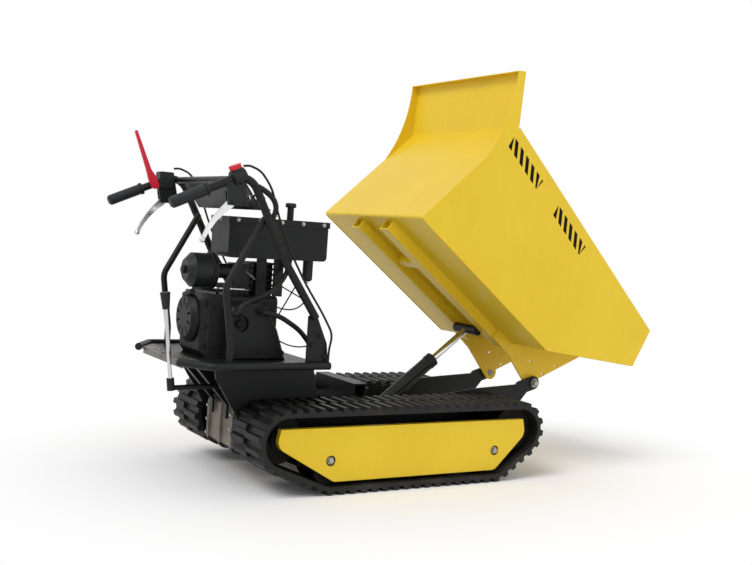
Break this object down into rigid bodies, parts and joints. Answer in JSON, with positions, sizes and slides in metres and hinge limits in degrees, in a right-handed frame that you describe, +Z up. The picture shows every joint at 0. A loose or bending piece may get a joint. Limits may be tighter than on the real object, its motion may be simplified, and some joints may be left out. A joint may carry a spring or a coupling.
{
  "type": "tracked mini site dumper with a hydraulic tipping skip",
  "caption": "Walk-behind tracked site dumper: rubber tracks, rear engine bay with handlebars, and a yellow sheet-steel skip shown tipped forward by a hydraulic cylinder.",
  "frame": {"origin": "on the ground, at the middle of the machine's length and width", "axes": "+X towards the tipping end, +Y to the left, +Z up"},
  "size_m": [1.9296, 0.716, 1.414],
  "materials": {
    "yellow_paint": "semi-gloss sheet-metal paint",
    "track_rubber": "matt moulded rubber",
    "grip_rubber": "matt soft rubber",
    "chrome": "bright plated",
    "red_plastic": "glossy",
    "black_plastic": "satin moulded",
    "hose_rubber": "matt",
    "cast_case": "painted casting",
    "engine_black": "satin powder coat",
    "dark_steel": "heat-resistant matt",
    "bare_steel": "dull machined steel",
    "step_steel": "worn plate",
    "black_paint": "satin powder coat"
  },
  "bodies": {
    "chassis": {"air_cleaner": "black_plastic", "blower_housing": "engine_black", "brake_levers": "chrome", "chassis_plate_left": "black_paint", "chassis_plate_right": "black_paint", "console": "black_paint", "control_cables": "hose_rubber", "cross_beams": "black_paint", "cylinder_mount": "black_paint", "drive_axle": "bare_steel", "drive_cover": "black_paint", "drive_lever": "red_plastic", "drive_sprockets": "dark_steel", "engine_block": "engine_black", "gear_knob": "grip_rubber", "gear_lever": "chrome", "gearbox": "cast_case", "grips": "grip_rubber", "handle_braces": "black_paint", "handle_feet": "black_paint", "handlebar_left": "black_paint", "handlebar_right": "black_paint", "hinge_pins": "bare_steel", "hydraulic_hoses": "hose_rubber", "hydraulic_tank": "black_paint", "idler_wheels": "dark_steel", "lever_block": "black_plastic", "lever_clamps": "black_plastic", "muffler": "dark_steel", "platform": "black_paint", "platform_struts": "black_paint", "recoil_starter": "engine_black", "return_filter": "black_plastic", "road_rollers_left": "dark_steel", "road_rollers_right": "dark_steel", "shift_arm": "black_paint", "side_cover_left": "yellow_paint", "side_cover_right": "yellow_paint", "skip_rest": "black_paint", "step_plate": "step_steel", "stop_button": "red_plastic", "switch_housing": "black_plastic", "tank_bracket": "black_paint", "tank_lid": "black_paint", "track_frame_left": "black_paint", "track_frame_right": "black_paint", "track_left": "track_rubber", "track_right": "track_rubber"},
    "skip": {"skip_floor": "yellow_paint", "skip_chute": "yellow_paint", "skip_back": "yellow_paint", "skip_guard": "yellow_paint", "skip_side_left": "yellow_paint", "skip_side_right": "yellow_paint", "skip_rails": "yellow_paint", "hinge_plates": "yellow_paint"},
    "cylinder_barrel": {"cylinder_barrel": "black_paint", "cylinder_line": "black_paint"},
    "cylinder_rod": {"cylinder_rod": "chrome", "rod_eye": "black_paint"}
  },
  "joints": [
    {"name": "skip_tip", "type": "hinge", "parent": "chassis", "child": "skip", "pos_m": [0.566, 0, 0.305], "axis": [0, 1, 0], "range_deg": [-37.24, 0]},
    {"name": "barrel_swing", "type": "hinge", "parent": "chassis", "child": "cylinder_barrel", "pos_m": [-0.05, 0, 0.192], "axis": [0, 1, 0], "range_deg": [0, 15.92]},
    {"name": "rod_slide", "type": "slide", "parent": "cylinder_barrel", "child": "cylinder_rod", "axis": [0.7956, 0, 0.6058], "range_m": [-0.14512, 0]}
  ],
  "couplings": [
    {"joint": "barrel_swing", "follows": "skip_tip", "ratio": -0.42746},
    {"joint": "rod_slide", "follows": "skip_tip", "m_per_rad": 0.22326}
  ]
}
